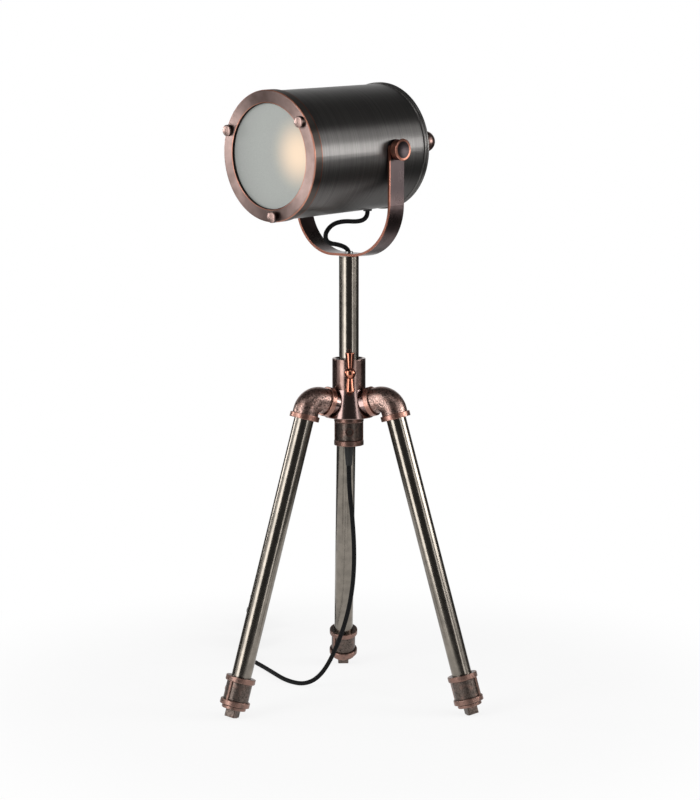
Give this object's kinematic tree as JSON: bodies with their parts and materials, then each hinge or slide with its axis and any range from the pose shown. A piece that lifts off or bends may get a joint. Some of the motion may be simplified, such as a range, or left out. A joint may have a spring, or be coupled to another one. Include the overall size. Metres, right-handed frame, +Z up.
{
  "type": "tabletop searchlight lamp",
  "caption": "Table lamp: drum searchlight head with a frosted front, tilting in a strap yoke on a sliding mast, on a splayed pipe-and-fitting tripod with a textile cord.",
  "frame": {"origin": "on the table plane, under the mast's axis", "axes": "+Z up along the mast, +Y along the rear leg; the front legs stand at azimuths 210 and 330 degrees from +X"},
  "size_m": [0.2632, 0.5551, 0.6263],
  "materials": {
    "polished_pipe": "polished black nickel",
    "rough_fitting": "rough cast, dark bronze with rubbed copper bands",
    "threaded_pipe": "threaded",
    "dark_hub": "polished dark bronze",
    "antique_copper": "satin antique copper plate",
    "bright_copper": "polished copper plate",
    "gunmetal_sheet": "brushed gunmetal",
    "plated_steel": "zinc plate",
    "nylon": "plain",
    "frosted_glass": "frosted",
    "opal_bulb": "opal",
    "bulb_cap_metal": "rolled",
    "black_rubber": "matt",
    "black_textile": "braided",
    "cord_tie_plastic": "matt",
    "black_plastic": "satin",
    "lampholder_plastic": "matt",
    "contact_brass": "plain"
  },
  "bodies": {
    "tripod": {"hub": "dark_hub", "collar": "antique_copper", "guide_bush": "nylon", "bottom_coupling": "rough_fitting", "elbow_left": "rough_fitting", "elbow_right": "rough_fitting", "elbow_rear": "rough_fitting", "leg_left": "polished_pipe", "leg_right": "polished_pipe", "leg_rear": "polished_pipe", "foot_coupling_left": "rough_fitting", "foot_coupling_right": "rough_fitting", "foot_coupling_rear": "rough_fitting", "foot_plug_left": "rough_fitting", "foot_plug_right": "rough_fitting", "foot_plug_rear": "rough_fitting", "pipe_nipples": "threaded_pipe", "strain_relief": "black_rubber", "power_cord": "black_textile", "switch_body": "black_plastic", "switch_cover": "black_plastic", "switch_link": "black_textile", "cord_hank": "black_textile", "cord_tie": "cord_tie_plastic", "plug_link": "black_textile", "plug_body": "black_plastic", "plug_pins": "contact_brass"},
    "clamp": {"clamp_screw": "bright_copper", "clamp_bar": "bright_copper"},
    "rocker": {"switch_rocker": "black_plastic"},
    "mast": {"mast_tube": "polished_pipe", "mast_plug": "threaded_pipe", "swivel_washer": "nylon", "lead_stud": "plated_steel"},
    "yoke": {"yoke_strap": "antique_copper", "head_lead": "black_textile"},
    "head": {"shade_tube": "gunmetal_sheet", "front_bezel": "antique_copper", "bezel_screws": "antique_copper", "front_glass": "frosted_glass", "glass_gasket": "black_rubber", "glass_retainer": "plated_steel", "rear_cover": "gunmetal_sheet", "handle_stem": "antique_copper", "handle_knob": "antique_copper", "handle_nut": "plated_steel", "pivot_inserts": "plated_steel", "pivot_washers": "nylon", "holder_bracket": "plated_steel", "holder_nipple": "plated_steel", "holder_nut": "plated_steel", "lampholder": "lampholder_plastic", "lampholder_shell": "contact_brass", "lampholder_contact": "contact_brass", "bulb_cap": "bulb_cap_metal", "bulb_glass": "opal_bulb", "lead_grommet": "black_rubber"},
    "knob_near": {"pivot_knob_near": "antique_copper"},
    "knob_far": {"pivot_knob_far": "antique_copper"}
  },
  "joints": [
    {"name": "mast_lift", "type": "slide", "parent": "tripod", "child": "mast", "axis": [0, 0, 1], "range_m": [0, 0.025]},
    {"name": "yoke_swivel", "type": "hinge", "parent": "mast", "child": "yoke", "pos_m": [0, 0, 0.4545], "axis": [0, 0, 1], "range_deg": [-170, 170]},
    {"name": "head_tilt", "type": "hinge", "parent": "yoke", "child": "head", "pos_m": [0, 0, 0.5605], "axis": [0.682, -0.7314, 0], "range_deg": [-60, 38], "deforming": ["head_lead"]},
    {"name": "clamp_turn", "type": "hinge", "parent": "tripod", "child": "clamp", "pos_m": [0, -0.023, 0.3387], "axis": [0, -1, 0], "range_deg": [0, 180]},
    {"name": "knob_near_turn", "type": "hinge", "parent": "head", "child": "knob_near", "pos_m": [0.04467, -0.0479, 0.5605], "axis": [0.682, -0.7314, 0], "range_deg": [0, 180]},
    {"name": "knob_far_turn", "type": "hinge", "parent": "head", "child": "knob_far", "pos_m": [-0.04467, 0.0479, 0.5605], "axis": [-0.682, 0.7314, 0], "range_deg": [0, 180]},
    {"name": "rocker_tip", "type": "hinge", "parent": "tripod", "child": "rocker", "pos_m": [-0.0951, 0.22471, 0.0128], "axis": [0, 0, -1], "range_deg": [0, 16]}
  ]
}
